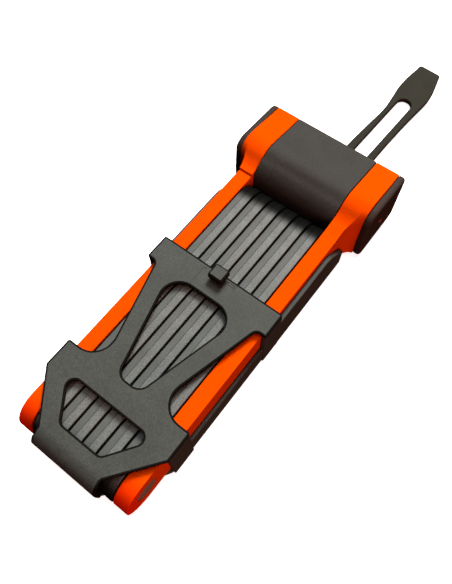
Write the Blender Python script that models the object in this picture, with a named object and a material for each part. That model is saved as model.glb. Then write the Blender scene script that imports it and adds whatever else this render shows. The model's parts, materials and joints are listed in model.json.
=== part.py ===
"""A folding bike lock in its frame holder.

Eight riveted bars and a lock head slide into a moulded holder, and a slotted rubber strap keeps them there.
The lock lies on its back: +Z points out of the holder's front panel and +Y towards the lock head. The origin
is on the holder's rear face, halfway between its two screw holes. Dimensions are in millimetres, and MM turns
them into metres as each mesh is made. Outlines across X are (y, z) points and outlines across Z are (x, y)
points. Depths along Z are counted from a datum inside the holder's rear plate, and body() lifts each piece by
RISE, so that the plate's rear face comes to Z = 0.
"""

import math

import bmesh
import bpy
from mathutils import Matrix, Vector

MM = 0.001
GAP = 0.3
RISE = 1.4

# Bars: six grey ones between two orange ones, all riveted at their ends.
PITCH = 7.0
GREY_BARS = 6
GREY_WIDTH = 6.5
ORANGE_INNER = 21.25
ORANGE_OUTER = 28.15
BAR_BACK = 2.0
BAR_FRONT = 24.6
BAR_Z = (BAR_BACK + BAR_FRONT) / 2
BAR_RADIUS = (BAR_FRONT - BAR_BACK) / 2
BOTTOM_PIVOT = -59.2
TOP_PIVOT = 62.8
SKIN = 0.6
CORE_WIDTH = GREY_WIDTH - 2 * SKIN - 2 * GAP
CORE_RADIUS = BAR_RADIUS - 1.1
CAVITY_RADIUS = CORE_RADIUS + GAP
END_STEPS = 10

# Rivets.
RIVET_HEAD_RADIUS = 5.0
RIVET_SHANK_RADIUS = 3.4
RIVET_STEPS = 16
SLEEVE_BORE = RIVET_HEAD_RADIUS + GAP
CORE_BORE = RIVET_SHANK_RADIUS + GAP

# Lock head: a black centre, an orange block and an end cap on each side.
HEAD_LOW = 74.6
HEAD_HIGH = 112.3
HEAD_BACK = 4.0
HEAD_CENTRE_HALF = 20.95
BLOCK_BACK = 1.0
BLOCK_OUTER = 33.0
FLARE_LOW = 80.0
FLARE_RADIUS = 4.6
CAP_INNER = BLOCK_OUTER + GAP
CAP_OUTER = 36.35
COVER_WALL = 1.8
MARK_AT = (95.6, 13.8)
MARK_RADIUS = 1.0

# Sliding dust cover over the keyway, in the left cap.
COVER_LOW = 93.0
COVER_HIGH = 106.8
COVER_BACK = 6.0
COVER_FRONT = 22.0
COVER_TRAVEL = 10.8
COVER_SINK = 0.15
COVER_THICK = 1.05

# The left bar's tongue and the socket that it plugs into.
SEAM = 73.3
TONGUE_END = 91.5
TONGUE_BACK = 4.0
TONGUE_FRONT = 19.4

# Lock mechanism: a cylinder across the head turns a crank that lifts the bolt out of the tongue's notch.
CYLINDER_Y = 100.0
CYLINDER_Z = 14.0
HOUSING_RADIUS = 6.6
PLUG_RADIUS = 4.6
CRANK_RADIUS = 4.0
CRANK_PIN_RADIUS = 1.2
BOLT_LOW = 81.3
BOLT_HIGH = 86.7
BOLT_BACK = 14.3
BOLT_FRONT = 19.8
BOLT_LIFT = CRANK_RADIUS * math.sqrt(2)
BOLT_RIGHT = -3.6
BOLT_TAIL_LEFT = -6.2
BOLT_TAIL_BACK = 8.4
CASE_HALF = 20.4
CASE_LOW = 80.0
CASE_HIGH = 109.4
CASE_BACK = 6.6
CASE_FRONT = 26.0
CASE_BORE_END = -9.2
CASE_POCKET_RIGHT = -2.9
CASE_POCKET_BACK = 7.9
CASE_POCKET_HIGH = 107.0
LID_LOW = 82.0
LID_HIGH = 92.0
LID_THICK = 1.0
HOUSING_LEFT = -34.6
HOUSING_RIGHT = -9.6
PLUG_LEFT = -34.7
PLUG_RIGHT = -9.3
KEYWAY_HALF = 0.8
KEYWAY_END = -14.0
CRANK_DISC = 5.6
CRANK_LEFT = -9.0
CRANK_RIGHT = -6.6
CRANK_PIN_END = -3.7
SPRING_X = -14.0
SPRING_FOOT = 15.5
SPRING_RADIUS = 1.55
SPRING_WIRE = 0.3
SPRING_POCKET = 2.35

# Two bolts through the arm's core into the case.
ARM_BOLTS_Y = (85.5, 103.0)
ARM_BOLTS_Z = 13.3
ARM_BOLT_RADIUS = 2.0
ARM_BOLT_HEAD = 3.3
ARM_BOLT_HEAD_THICK = 1.8
ARM_BOLT_END = 12.0

# Holder: a rear channel with side rails, and a waisted front panel that wraps round the bars' lower ends.
HOLE_SPACING = 64.0
SCREW_RADIUS = 2.7
SCREW_SHIFT = 2.0
PANEL_TOP = 24.0
PANEL_FRONT = 28.2
PANEL_THICK = 1.8
PANEL_HALF = 30.6
RAIL_INNER = 28.55
RAIL_WAIST_OUTER = 29.9
RAIL_TALL_OUTER = 30.5
RAIL_TOP_FRONT = 21.0
RAIL_END_FRONT = 9.5
RAIL_SLOPE = 13.6
CHANNEL_HIGH = 74.6
PLATE_HIGH = 73.2
PLATE_BACK = -RISE
PLATE_FRONT = 1.6
TAB_SPLIT = 11.7
TAB_FRONT = PANEL_FRONT - 0.4
HOLDER_LOW = -73.0
WRAP_RADIUS = 7.5
WRAP_HALF = 16.0
PLATE_TAPER_HALF = 18.0
PLATE_LOW_HALF = 11.5
STEM_HALF = 2.0
STEM_LOW = 20.4
STEM_HIGH = 24.4
KNOB_HALF = 3.6
KNOB_LOW = 18.3
KNOB_HIGH = 25.0
KNOB_BACK = 30.6
KNOB_FRONT = 33.4

# Rubber strap, which passes behind the bars, and folds up over the head's end and down on its front.
STRAP_X = 4.7
STRAP_HALF = 8.4
STRAP_BACK = -1.2
STRAP_FRONT = 1.7
STRAP_ROOT = 76.0
STRAP_HINGE = 115.0
STRAP_FOLD = 147.5
STRAP_END = 206.5
SLOT_HALF = 3.9
SLOT_END = 179.3
SLOT_LEAN = 1.7
LAP_BACK = 0.2
LAP_END = 88.0
TONGUE_HALF = 9.0
TONGUE_FRONT_Z = -0.1
STRAP_RIVET_Y = 81.5
STRAP_RIVET_X = (STRAP_X - 4.5, STRAP_X + 4.5)
STRAP_RIVET_RADIUS = 1.5
STRAP_RIVET_HEAD = 3.0
STRAP_RIVET_HEAD_THICK = 0.7


def clear_scene():
    for obj in list(bpy.data.objects):
        bpy.data.objects.remove(obj, do_unlink=True)


def make_material(name, colour, roughness, metallic=0.0):
    made = bpy.data.materials.new(name)
    made.use_nodes = True
    shader = made.node_tree.nodes["Principled BSDF"]
    shader.inputs["Base Color"].default_value = (*colour, 1.0)
    shader.inputs["Roughness"].default_value = roughness
    shader.inputs["Metallic"].default_value = metallic
    made.diffuse_color = (*colour, 1.0)
    return made


def arc(centre, radius, start, end, steps):
    """Points on a circle from the angle start to the angle end, in degrees."""
    angles = [math.radians(start + (end - start) * i / steps) for i in range(steps + 1)]
    return [(centre[0] + radius * math.cos(a), centre[1] + radius * math.sin(a)) for a in angles]


def rounded(corners, steps=4):
    """An outline through (a, b, radius) corners, with each corner turned into an arc of its radius."""
    points = []
    count = len(corners)
    for i, (a, b, radius) in enumerate(corners):
        here = Vector((a, b))
        if radius == 0:
            points.append((a, b))
            continue
        before = (Vector(corners[i - 1][:2]) - here).normalized()
        after = (Vector(corners[(i + 1) % count][:2]) - here).normalized()
        half = before.angle(after) / 2
        centre = here + (before + after).normalized() * radius / math.sin(half)
        first = here + before * radius / math.tan(half) - centre
        last = here + after * radius / math.tan(half) - centre
        turn = first.angle_signed(last)
        for k in range(steps + 1):
            spoke = first.copy()
            spoke.rotate(Matrix.Rotation(-turn * k / steps, 2))
            points.append(tuple(centre + spoke))
    return points


def mirrored(half):
    """A whole outline from the (x, y, radius) corners of its right half, listed from top to bottom."""
    return half + [(-x, y, radius) for x, y, radius in reversed(half)]


def make_object(name, mesh_builder, material):
    mesh = bpy.data.meshes.new(name)
    bmesh.ops.recalc_face_normals(mesh_builder, faces=mesh_builder.faces)
    bmesh.ops.scale(mesh_builder, vec=(MM, MM, MM), verts=mesh_builder.verts)
    mesh_builder.to_mesh(mesh)
    mesh_builder.free()
    made = bpy.data.objects.new(name, mesh)
    bpy.context.scene.collection.objects.link(made)
    if material:
        mesh.materials.append(material)
    return made


def placed(axis, a, b, along):
    """The point with outline coordinates (a, b), at the distance along the axis."""
    return {"X": (along, a, b), "Y": (a, along, b), "Z": (a, b, along)}[axis]


def prism(name, axis, outline, low, high, material=None):
    """An outline extruded from low to high along an axis."""
    builder = bmesh.new()
    ends = []
    for along in (low, high):
        verts = [builder.verts.new(placed(axis, a, b, along)) for a, b in outline]
        ends.append(verts)
        builder.faces.new(verts)
    count = len(outline)
    for i in range(count):
        j = (i + 1) % count
        builder.faces.new((ends[0][i], ends[0][j], ends[1][j], ends[1][i]))
    return make_object(name, builder, material)


def box(name, low, high, material=None):
    (x0, y0, z0), (x1, y1, z1) = low, high
    outline = [(x0, y0), (x1, y0), (x1, y1), (x0, y1)]
    return prism(name, "Z", outline, z0, z1, material)


def rod(name, axis, centre, radius, low, high, material=None, steps=RIVET_STEPS):
    outline = arc(centre, radius, 0, 360, steps)[:-1]
    return prism(name, axis, outline, low, high, material)


def turned(name, centre, profile, material, steps=RIVET_STEPS):
    """A closed (x, radius) profile turned about the X-parallel line through centre, given as (y, z)."""
    builder = bmesh.new()
    rings = []
    for x, radius in profile:
        if radius == 0:
            rings.append([builder.verts.new((x, *centre))])
            continue
        circle = arc(centre, radius, 0, 360, steps)[:-1]
        rings.append([builder.verts.new((x, y, z)) for y, z in circle])
    for first, second in zip(rings, rings[1:]):
        for i in range(steps):
            corners = [(first, i), (first, i + 1), (second, i + 1), (second, i)]
            verts = [ring[k % len(ring)] for ring, k in corners]
            builder.faces.new(list(dict.fromkeys(verts)))
    return make_object(name, builder, material)


def helix(name, centre, radius, wire, low, high, turns, material):
    """A coil spring that stands along Z, as a tube round a helix."""
    curve = bpy.data.curves.new(name, "CURVE")
    curve.dimensions = "3D"
    curve.bevel_depth = wire * MM
    curve.bevel_resolution = 1
    curve.use_fill_caps = True
    spline = curve.splines.new("POLY")
    count = 10 * turns + 1
    spline.points.add(count - 1)
    for i, point in enumerate(spline.points):
        angle = math.tau * i / 10
        x = centre[0] + radius * math.cos(angle)
        y = centre[1] + radius * math.sin(angle)
        z = low + wire + (high - low - 2 * wire) * i / (count - 1)
        point.co = (x * MM, y * MM, z * MM, 1.0)
    made = bpy.data.objects.new(name, curve)
    bpy.context.scene.collection.objects.link(made)
    curve.materials.append(material)
    return made


def combine(target, tool, operation):
    """Cuts, joins or keeps the common part of target and tool, bakes the result and deletes the tool."""
    modifier = target.modifiers.new(operation.title(), "BOOLEAN")
    modifier.operation = operation
    modifier.solver = "EXACT"
    modifier.object = tool
    tool.hide_render = True
    tool.display_type = "WIRE"
    graph = bpy.context.evaluated_depsgraph_get()
    baked = bpy.data.meshes.new_from_object(target.evaluated_get(graph))
    target.modifiers.clear()
    materials = list(target.data.materials)
    target.data = baked
    baked.materials.clear()
    for material in materials:
        baked.materials.append(material)
    bpy.data.objects.remove(tool, do_unlink=True)
    return target


def cut(target, tool):
    return combine(target, tool, "DIFFERENCE")


def join(target, tool):
    return combine(target, tool, "UNION")


def keep(target, tool):
    return combine(target, tool, "INTERSECT")


def chamfered(target, width):
    modifier = target.modifiers.new("Chamfer", "BEVEL")
    modifier.width = width * MM
    modifier.segments = 1
    modifier.limit_method = "ANGLE"
    modifier.angle_limit = math.radians(60)
    return target


def smooth(target):
    target.data.shade_smooth()
    target.data.set_sharp_from_angle(angle=math.radians(35))
    return target


def copy_at(source, name, x):
    """Another object with the source's mesh, moved by x."""
    made = bpy.data.objects.new(name, source.data)
    made.location = (x * MM, 0, 0)
    bpy.context.scene.collection.objects.link(made)
    return made


def body(name, origin, pieces):
    """Parents pieces to an empty on their joint's axis, and lifts them to the rear face's frame."""
    empty = bpy.data.objects.new(name, None)
    datum_origin = Vector(origin) * MM
    empty.location = datum_origin + Vector((0, 0, RISE * MM))
    bpy.context.scene.collection.objects.link(empty)
    for piece in pieces:
        piece.parent = empty
        piece.matrix_parent_inverse = Matrix.Translation(-datum_origin)


def slot_outline(radius):
    """A bar's outline: two round ends about its two pivots."""
    lower = arc((BOTTOM_PIVOT, BAR_Z), radius, 90, 270, END_STEPS)
    upper = arc((TOP_PIVOT, BAR_Z), radius, -90, 90, END_STEPS)
    return lower + upper


def square_outline(radius, end):
    """A bar's outline with a round lower end and a square end at the height end."""
    lower = arc((BOTTOM_PIVOT, BAR_Z), radius, 90, 270, END_STEPS)
    return lower + [(end, BAR_Z - radius), (end, BAR_Z + radius)]


def grey_bars(materials):
    """The six steel bars and their grey sleeves, each about its own middle plane."""
    half = GREY_WIDTH / 2
    core_half = CORE_WIDTH / 2
    sleeve = prism("bar_sleeve_1", "X", slot_outline(BAR_RADIUS), -half, half, materials["bar_grey"])
    cut(sleeve, prism("cavity", "X", slot_outline(CAVITY_RADIUS), -half + SKIN, half - SKIN))
    core = prism("bar_core_1", "X", slot_outline(CORE_RADIUS), -core_half, core_half, materials["steel"])
    for pivot in (BOTTOM_PIVOT, TOP_PIVOT):
        cut(sleeve, rod("bore", "X", (pivot, BAR_Z), SLEEVE_BORE, -half - 1, half + 1))
        cut(core, rod("bore", "X", (pivot, BAR_Z), CORE_BORE, -half - 1, half + 1))
    first = -PITCH * (GREY_BARS - 1) / 2
    sleeves = [smooth(sleeve)]
    cores = [smooth(core)]
    for index in range(1, GREY_BARS):
        x = first + PITCH * index
        sleeves.append(copy_at(sleeve, f"bar_sleeve_{index + 1}", x))
        cores.append(copy_at(core, f"bar_core_{index + 1}", x))
    sleeve.location.x = first * MM
    core.location.x = first * MM
    return sleeves, cores


def rivet(name, y, low, high, material):
    """A rivet with a thin flat head at each end, flush with the two sleeves that it passes through."""
    profile = [
        (low, 0),
        (low, RIVET_HEAD_RADIUS),
        (low + SKIN, RIVET_HEAD_RADIUS),
        (low + SKIN, RIVET_SHANK_RADIUS),
        (high - SKIN, RIVET_SHANK_RADIUS),
        (high - SKIN, RIVET_HEAD_RADIUS),
        (high, RIVET_HEAD_RADIUS),
        (high, 0),
    ]
    return smooth(turned(name, (y, BAR_Z), profile, material))


def rivets(material):
    """Four rivets in line at the bars' lower ends and three at their upper ends, each through two bars."""
    face = (PITCH - GREY_WIDTH) / 2
    lower = []
    for number, low in enumerate((2 * PITCH, 0, -2 * PITCH, -4 * PITCH), start=1):
        left = -ORANGE_OUTER if number == 4 else low + face
        right = ORANGE_OUTER if number == 1 else low + 2 * PITCH - face
        lower.append(rivet(f"lower_rivet_{number}", BOTTOM_PIVOT, left, right, material))
    upper = []
    for number, low in enumerate((PITCH, -PITCH, -3 * PITCH), start=1):
        right = low + 2 * PITCH - face
        upper.append(rivet(f"upper_rivet_{number}", TOP_PIVOT, low + face, right, material))
    return lower, upper


def left_bar(materials):
    """The loose end bar: an orange sleeve, and a core whose tongue plugs into the head."""
    outline = square_outline(BAR_RADIUS, SEAM)
    sleeve = prism("left_bar_sleeve", "X", outline, -ORANGE_OUTER, -ORANGE_INNER, materials["orange"])
    cavity = square_outline(CAVITY_RADIUS, SEAM + 1)
    cut(sleeve, prism("cavity", "X", cavity, -ORANGE_OUTER + SKIN, -ORANGE_INNER - SKIN))
    cut(sleeve, rod("bore", "X", (BOTTOM_PIVOT, BAR_Z), SLEEVE_BORE, -ORANGE_OUTER - 1, -ORANGE_INNER + 1))
    middle = -(ORANGE_INNER + ORANGE_OUTER) / 2
    left = middle - CORE_WIDTH / 2
    right = middle + CORE_WIDTH / 2
    lower = arc((BOTTOM_PIVOT, BAR_Z), CORE_RADIUS, 90, 270, END_STEPS)
    shoulder_back = BAR_Z - CORE_RADIUS
    shoulder_front = BAR_Z + CORE_RADIUS
    tongue = [
        (SEAM, shoulder_back),
        (SEAM, TONGUE_BACK),
        (TONGUE_END - 2, TONGUE_BACK),
        (TONGUE_END, TONGUE_BACK + 2),
        (TONGUE_END, TONGUE_FRONT - 2),
        (TONGUE_END - 2, TONGUE_FRONT),
        (BOLT_HIGH + GAP, TONGUE_FRONT),
        (BOLT_HIGH + GAP, BOLT_BACK - GAP),
        (BOLT_LOW - GAP, BOLT_BACK - GAP),
        (BOLT_LOW - GAP, TONGUE_FRONT),
        (SEAM, TONGUE_FRONT),
        (SEAM, shoulder_front),
    ]
    core = prism("left_bar_core", "X", lower + tongue, left, right, materials["steel"])
    cut(core, rod("bore", "X", (BOTTOM_PIVOT, BAR_Z), CORE_BORE, left - 1, right + 1))
    return smooth(sleeve), smooth(core)


def head_profile(low, back, inset=0.0):
    """The head's outline across X, from its lower face at the height low round to its back."""
    nose = low + 9.6
    return rounded(
        [
            (low + inset, back + inset, 0.8),
            (low + inset, 24.2 - 0.3 * inset, 0.8),
            (nose + 0.6 * inset, 33.2 - 1.25 * inset, 5.0),
            (HEAD_HIGH - inset, 29.0 - 1.1 * inset, 2.5),
            (HEAD_HIGH - inset, back + inset, 1.5),
        ]
    )


def flare_cutter(side):
    """What is cut from a head block beside its bar, to leave a round flare up to its lower face."""
    x0 = side * (ORANGE_OUTER + 0.02)
    x1 = side * (BLOCK_OUTER + 2)
    far = side * (ORANGE_OUTER + FLARE_RADIUS)
    angles = (180, 90) if side > 0 else (0, 90)
    hollow = arc((far, FLARE_LOW - FLARE_RADIUS), FLARE_RADIUS - 0.02, *angles, 6)
    outline = [(x0, HEAD_LOW - 4)] + hollow + [(x1, FLARE_LOW), (x1, HEAD_LOW - 4)]
    return prism("flare", "Z", outline, -2, 40)


def head_block(name, side, low, material):
    """An orange block at one side of the head, with the flare beside its bar."""
    ends = sorted((side * ORANGE_INNER, side * BLOCK_OUTER))
    block = prism(name, "X", head_profile(low, BLOCK_BACK), *ends, material)
    return cut(block, flare_cutter(side))


def arm(materials):
    """The right-hand orange cover: one moulding over the fixed bar and the right side of the head."""
    cover = head_block("arm_cover", 1, HEAD_LOW, materials["orange"])
    outline = square_outline(BAR_RADIUS, HEAD_LOW + 6)
    join(cover, prism("bar", "X", outline, ORANGE_INNER, ORANGE_OUTER))
    core_end = HEAD_HIGH - 4
    middle = (ORANGE_INNER + ORANGE_OUTER) / 2
    left = middle - CORE_WIDTH / 2
    right = middle + CORE_WIDTH / 2
    cavity = square_outline(CAVITY_RADIUS, core_end + GAP)
    cut(cover, prism("cavity", "X", cavity, ORANGE_INNER + SKIN, ORANGE_OUTER - SKIN))
    cut(cover, rod("bore", "X", (BOTTOM_PIVOT, BAR_Z), SLEEVE_BORE, ORANGE_INNER - 1, ORANGE_OUTER + 1))
    core = prism("arm_core", "X", square_outline(CORE_RADIUS, core_end), left, right, materials["steel"])
    cut(core, rod("bore", "X", (BOTTOM_PIVOT, BAR_Z), CORE_BORE, left - 1, right + 1))
    for y in ARM_BOLTS_Y:
        at = (y, ARM_BOLTS_Z)
        bore = ARM_BOLT_RADIUS + GAP
        sink = right - ARM_BOLT_HEAD_THICK - GAP
        cut(cover, rod("bore", "X", at, bore + GAP, ORANGE_INNER - 1, left, steps=12))
        cut(core, rod("bore", "X", at, bore, left - 1, right + 1, steps=12))
        cut(core, rod("sink", "X", at, ARM_BOLT_HEAD + GAP, sink, right + 1, steps=12))
    return smooth(cover), smooth(core), right


def left_block(material):
    """The orange block on the left, with the tongue's socket, the bolt's window and the cylinder's bore."""
    block = head_block("head_block_left", -1, SEAM + GAP, material)
    middle = -(ORANGE_INNER + ORANGE_OUTER) / 2
    half = CORE_WIDTH / 2 + GAP
    socket_low = (middle - half, SEAM - 2, TONGUE_BACK - GAP)
    socket_high = (middle + half, TONGUE_END + GAP, TONGUE_FRONT + GAP)
    cut(block, box("socket", socket_low, socket_high))
    window_low = (-ORANGE_OUTER - 0.1, BOLT_LOW - GAP, BOLT_BACK - GAP)
    window_high = (-ORANGE_INNER + 1, BOLT_HIGH + GAP, BOLT_FRONT + BOLT_LIFT + GAP)
    cut(block, box("window", window_low, window_high))
    bore = rod("bore", "X", (CYLINDER_Y, CYLINDER_Z), HOUSING_RADIUS + GAP, -40, -10)
    return smooth(cut(block, bore))


def head_centre(material):
    """The black middle of the head: a hollow moulding, open at both sides."""
    half = HEAD_CENTRE_HALF
    cover = prism("head_cover", "X", head_profile(HEAD_LOW, HEAD_BACK), -half, half, material)
    inside = head_profile(HEAD_LOW, HEAD_BACK, COVER_WALL)
    return smooth(cut(cover, prism("inside", "X", inside, -half - 1, half + 1)))


def end_cap(name, side, material):
    """A chamfered plate that closes one side of the head."""
    outline = rounded(
        [
            (FLARE_LOW + 0.4, 0.0, 4.0),
            (FLARE_LOW + 0.4, 30.6, 4.5),
            (HEAD_HIGH + 0.2, 29.0, 3.0),
            (HEAD_HIGH + 0.2, 0.0, 3.0),
        ]
    )
    ends = sorted((side * CAP_INNER, side * CAP_OUTER))
    return prism(name, "X", outline, *ends, material)


def bake_modifiers(target):
    graph = bpy.context.evaluated_depsgraph_get()
    baked = bpy.data.meshes.new_from_object(target.evaluated_get(graph))
    target.modifiers.clear()
    target.data = baked
    return target


def caps(materials):
    """Both end caps, the left one's sliding dust cover, and the round index mark on the right one."""
    right = bake_modifiers(chamfered(end_cap("end_cap_right", 1, materials["cap"]), 1.1))
    pocket = MARK_RADIUS + GAP
    cut(right, rod("pocket", "X", MARK_AT, pocket, CAP_OUTER - 1.2, CAP_OUTER + 1, steps=12))
    foot = CAP_OUTER - 0.9
    profile = [
        (foot, 0),
        (foot, MARK_RADIUS),
        (CAP_OUTER - 0.1, MARK_RADIUS),
        (CAP_OUTER, 0.6),
        (CAP_OUTER, 0),
    ]
    mark = turned("index_mark", MARK_AT, profile, materials["red"], 12)
    left = bake_modifiers(chamfered(end_cap("end_cap_left", -1, materials["cap"]), 1.1))
    cut(left, rod("bore", "X", (CYLINDER_Y, CYLINDER_Z), HOUSING_RADIUS + GAP, -40, -30))
    track_low = (-CAP_OUTER - 1, COVER_LOW - COVER_TRAVEL - GAP, COVER_BACK - GAP)
    track_high = (-CAP_OUTER + 1.5, COVER_HIGH + GAP, COVER_FRONT + GAP)
    cut(left, box("track", track_low, track_high))
    cover_low = (-CAP_OUTER + COVER_SINK, COVER_LOW, COVER_BACK)
    cover_high = (-CAP_OUTER + COVER_SINK + COVER_THICK, COVER_HIGH, COVER_FRONT)
    cover = box("dust_cover", cover_low, cover_high, materials["cap"])
    for number in range(3):
        y = COVER_LOW + 2.2 + 1.8 * number
        groove_low = (-CAP_OUTER - 1, y, COVER_BACK + 2.5)
        groove_high = (-CAP_OUTER + 0.45, y + 0.8, COVER_FRONT - 2.5)
        cut(cover, box("groove", groove_low, groove_high))
    return smooth(right), smooth(left), mark, cover


def lock_case(materials):
    """The steel case with its bore, crank pocket and bolt channel, and the lid that holds the spring down."""
    case_low = (-CASE_HALF, CASE_LOW, CASE_BACK)
    case = box("lock_case", case_low, (CASE_HALF, CASE_HIGH, CASE_FRONT), materials["steel"])
    at = (CYLINDER_Y, CYLINDER_Z)
    above = CASE_FRONT + 4
    cut(case, rod("bore", "X", at, HOUSING_RADIUS + GAP, -CASE_HALF - 1, CASE_BORE_END))
    pocket_low = (CASE_BORE_END - 0.1, BOLT_LOW - GAP, CASE_POCKET_BACK)
    cut(case, box("pocket", pocket_low, (CASE_POCKET_RIGHT, CASE_POCKET_HIGH, above)))
    channel_low = (-CASE_HALF - 1, BOLT_LOW - GAP, BOLT_BACK - GAP)
    cut(case, box("channel", channel_low, (CASE_BORE_END, BOLT_HIGH + GAP, above)))
    for y in ARM_BOLTS_Y:
        radius = ARM_BOLT_RADIUS + GAP
        at = (y, ARM_BOLTS_Z)
        cut(case, rod("bore", "X", at, radius, ARM_BOLT_END - GAP, CASE_HALF + 1, steps=12))
    lid_low = (-CASE_HALF, LID_LOW, CASE_FRONT + GAP)
    lid_high = (CASE_POCKET_RIGHT, LID_HIGH, CASE_FRONT + GAP + LID_THICK)
    lid = box("case_lid", lid_low, lid_high, materials["steel"])
    return smooth(case), lid


def arm_bolts(core_face, material):
    """Two bolts that hold the steel case to the arm's core."""
    head = core_face - ARM_BOLT_HEAD_THICK
    profile = [
        (ARM_BOLT_END, 0),
        (ARM_BOLT_END, ARM_BOLT_RADIUS),
        (head, ARM_BOLT_RADIUS),
        (head, ARM_BOLT_HEAD),
        (core_face, ARM_BOLT_HEAD),
        (core_face, 0),
    ]
    made = []
    for number, y in enumerate(ARM_BOLTS_Y, start=1):
        made.append(smooth(turned(f"arm_bolt_{number}", (y, ARM_BOLTS_Z), profile, material, 12)))
    return made


def cylinder_parts(materials):
    """The cylinder: a fixed housing, a plug with a keyway, and the crank on the plug's inner end."""
    at = (CYLINDER_Y, CYLINDER_Z)
    brass = materials["brass"]
    housing = rod("cylinder_housing", "X", at, HOUSING_RADIUS, HOUSING_LEFT, HOUSING_RIGHT, brass, 20)
    cut(housing, rod("bore", "X", at, PLUG_RADIUS + GAP, HOUSING_LEFT - 5, HOUSING_RIGHT + 5, steps=20))
    plug = rod("cylinder_plug", "X", at, PLUG_RADIUS, PLUG_LEFT, PLUG_RIGHT, brass, 20)
    keyway_low = (PLUG_LEFT - 1, CYLINDER_Y - KEYWAY_HALF, CYLINDER_Z - 3.6)
    keyway_high = (KEYWAY_END, CYLINDER_Y + KEYWAY_HALF, CYLINDER_Z + 3.2)
    cut(plug, box("keyway", keyway_low, keyway_high))
    crank = rod("crank", "X", at, CRANK_DISC, CRANK_LEFT, CRANK_RIGHT, materials["steel"], 20)
    reach = CRANK_RADIUS / math.sqrt(2)
    pin_at = (CYLINDER_Y - reach, CYLINDER_Z - reach)
    join(crank, rod("pin", "X", pin_at, CRANK_PIN_RADIUS, CRANK_RIGHT - 0.9, CRANK_PIN_END, steps=12))
    return smooth(housing), smooth(plug), smooth(crank)


def bolt_parts(materials):
    """The bolt that drops into the tongue's notch, with a tail for the crank pin, and its spring."""
    bolt_low = (-ORANGE_OUTER + 0.5, BOLT_LOW, BOLT_BACK)
    bolt = box("bolt", bolt_low, (BOLT_RIGHT, BOLT_HIGH, BOLT_FRONT), materials["steel"])
    tail_low = (BOLT_TAIL_LEFT, BOLT_HIGH - 0.5, BOLT_TAIL_BACK)
    join(bolt, box("tail", tail_low, (BOLT_RIGHT, CYLINDER_Y + 0.3, BOLT_FRONT)))
    pin_z = CYLINDER_Z - CRANK_RADIUS / math.sqrt(2)
    slot_half = CRANK_PIN_RADIUS + 0.45
    slot_low = (BOLT_TAIL_LEFT - 2, CYLINDER_Y - 5.8, pin_z - slot_half)
    slot_high = (BOLT_RIGHT + 2, CYLINDER_Y - 1.1, pin_z + slot_half)
    cut(bolt, box("slot", slot_low, slot_high))
    at = (SPRING_X, (BOLT_LOW + BOLT_HIGH) / 2)
    cut(bolt, rod("pocket", "Z", at, SPRING_POCKET, SPRING_FOOT - GAP, BOLT_FRONT + 10, steps=12))
    ends = (SPRING_FOOT, CASE_FRONT)
    spring = helix("bolt_spring", at, SPRING_RADIUS, SPRING_WIRE, *ends, 5, materials["steel"])
    return bolt, spring


def panel_outline():
    """The front panel's waisted outline: upper tabs, waist, lower tabs, and the taper down to the wrap."""
    top = PANEL_TOP
    half = [
        (PANEL_HALF, top, 1.0),
        (PANEL_HALF, top - 11.9, 0.8),
        (26.0, top - 11.9, 2.6),
        (13.5, top - 59.0, 9.0),
        (PANEL_HALF, top - 59.0, 1.0),
        (PANEL_HALF, top - 71.7, 1.5),
        (WRAP_HALF, top - 91.0, 2.0),
        (WRAP_HALF, HOLDER_LOW - 2, 0),
    ]
    return rounded(mirrored(half))


def windows():
    """The teardrop window and the trapezoid window below it."""
    top = PANEL_TOP
    teardrop = [(17.3, top - 12.2, 8.0), (5.3, top - 58.4, 4.8)]
    trapezoid = [(21.3, top - 69.2, 3.0), (9.9, top - 85.2, 3.0)]
    return [rounded(mirrored(teardrop), 6), rounded(mirrored(trapezoid), 4)]


def holder_front(material):
    """The panel and its wrap round the lower end, the four tab walls, and the hook for the strap."""
    inner = PANEL_FRONT - PANEL_THICK
    centre = (HOLDER_LOW + WRAP_RADIUS, PANEL_FRONT - WRAP_RADIUS)
    back = PLATE_FRONT + GAP
    section = [(PANEL_TOP, inner), (PANEL_TOP, PANEL_FRONT)]
    section += arc(centre, WRAP_RADIUS, 90, 180, 6)
    section += [(HOLDER_LOW, back), (HOLDER_LOW + PANEL_THICK, back)]
    section += arc(centre, WRAP_RADIUS - PANEL_THICK, 180, 90, 6)
    panel = prism("holder_front", "X", section, -PANEL_HALF, PANEL_HALF, material)
    keep(panel, prism("outline", "Z", panel_outline(), -5, 40))
    for outline in windows():
        cut(panel, prism("window", "Z", outline, 20, 40))
    for side in (-1, 1):
        for low, high in tab_spans():
            ends = sorted((side * RAIL_INNER, side * PANEL_HALF))
            foot = TAB_SPLIT + GAP
            outline = [(low, foot), (high, foot), (high, TAB_FRONT), (low, TAB_FRONT)]
            join(panel, prism("tab", "X", outline, *ends))
    stem_low = (-STEM_HALF, STEM_LOW, inner + 0.2)
    stem_high = (STEM_HALF, STEM_HIGH, KNOB_BACK + 0.9)
    join(panel, box("stem", stem_low, stem_high))
    upper = [(KNOB_HALF, KNOB_HIGH, 1.0), (KNOB_HALF, KNOB_LOW, 1.0)]
    knob = rounded(mirrored(upper), 2)
    join(panel, prism("knob", "Z", knob, KNOB_BACK, KNOB_FRONT))
    return smooth(panel)


def tab_spans():
    """The heights along Y of the upper and lower tab walls."""
    return (PANEL_TOP - 11.5, PANEL_TOP - 0.4), (PANEL_TOP - 71.0, PANEL_TOP - 59.4)


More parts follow.
